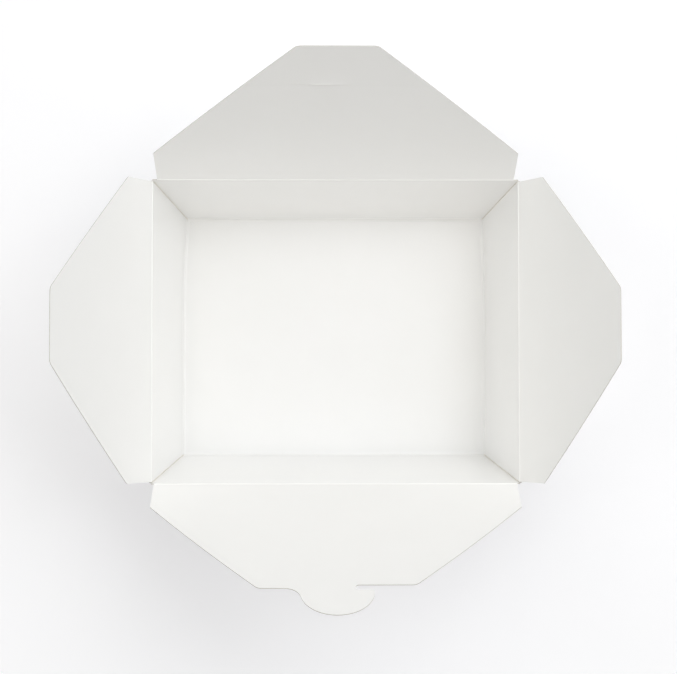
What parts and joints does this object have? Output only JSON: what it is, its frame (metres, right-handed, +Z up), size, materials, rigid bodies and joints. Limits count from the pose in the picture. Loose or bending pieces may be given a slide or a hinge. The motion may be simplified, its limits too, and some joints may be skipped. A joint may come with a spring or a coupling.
{
  "type": "takeout food box",
  "caption": "Open takeout food box folded from white paperboard: flared tray, folded corner webs, and hinged top flaps that lock with a tab and a slit.",
  "frame": {"origin": "centre of the underside of the base, where the box rests", "axes": "+Z up, +X towards the right end flap, +Y towards the rear flap with the slit"},
  "size_m": [0.2419, 0.2342, 0.1451],
  "materials": {
    "coated_board": "matt white coated paperboard"
  },
  "bodies": {
    "tray": {"tray": "coated_board"},
    "rear_flap": {"rear_flap": "coated_board"},
    "left_flap": {"left_flap": "coated_board"},
    "front_flap": {"front_flap": "coated_board"},
    "right_flap": {"right_flap": "coated_board"}
  },
  "joints": [
    {"name": "rear_flap_fold", "type": "hinge", "parent": "tray", "child": "rear_flap", "pos_m": [0, 0.07053, 0.0641], "axis": [1, 0, 0], "range_deg": [-91.5, 118.5]},
    {"name": "left_flap_fold", "type": "hinge", "parent": "tray", "child": "left_flap", "pos_m": [-0.08523, 0, 0.0635], "axis": [0, 1, 0], "range_deg": [-90, 120]},
    {"name": "front_flap_fold", "type": "hinge", "parent": "tray", "child": "front_flap", "pos_m": [0, -0.07063, 0.0647], "axis": [-1, 0, 0], "range_deg": [-88.5, 121.5]},
    {"name": "right_flap_fold", "type": "hinge", "parent": "tray", "child": "right_flap", "pos_m": [0.08523, 0, 0.0635], "axis": [0, -1, 0], "range_deg": [-91, 119]}
  ]
}
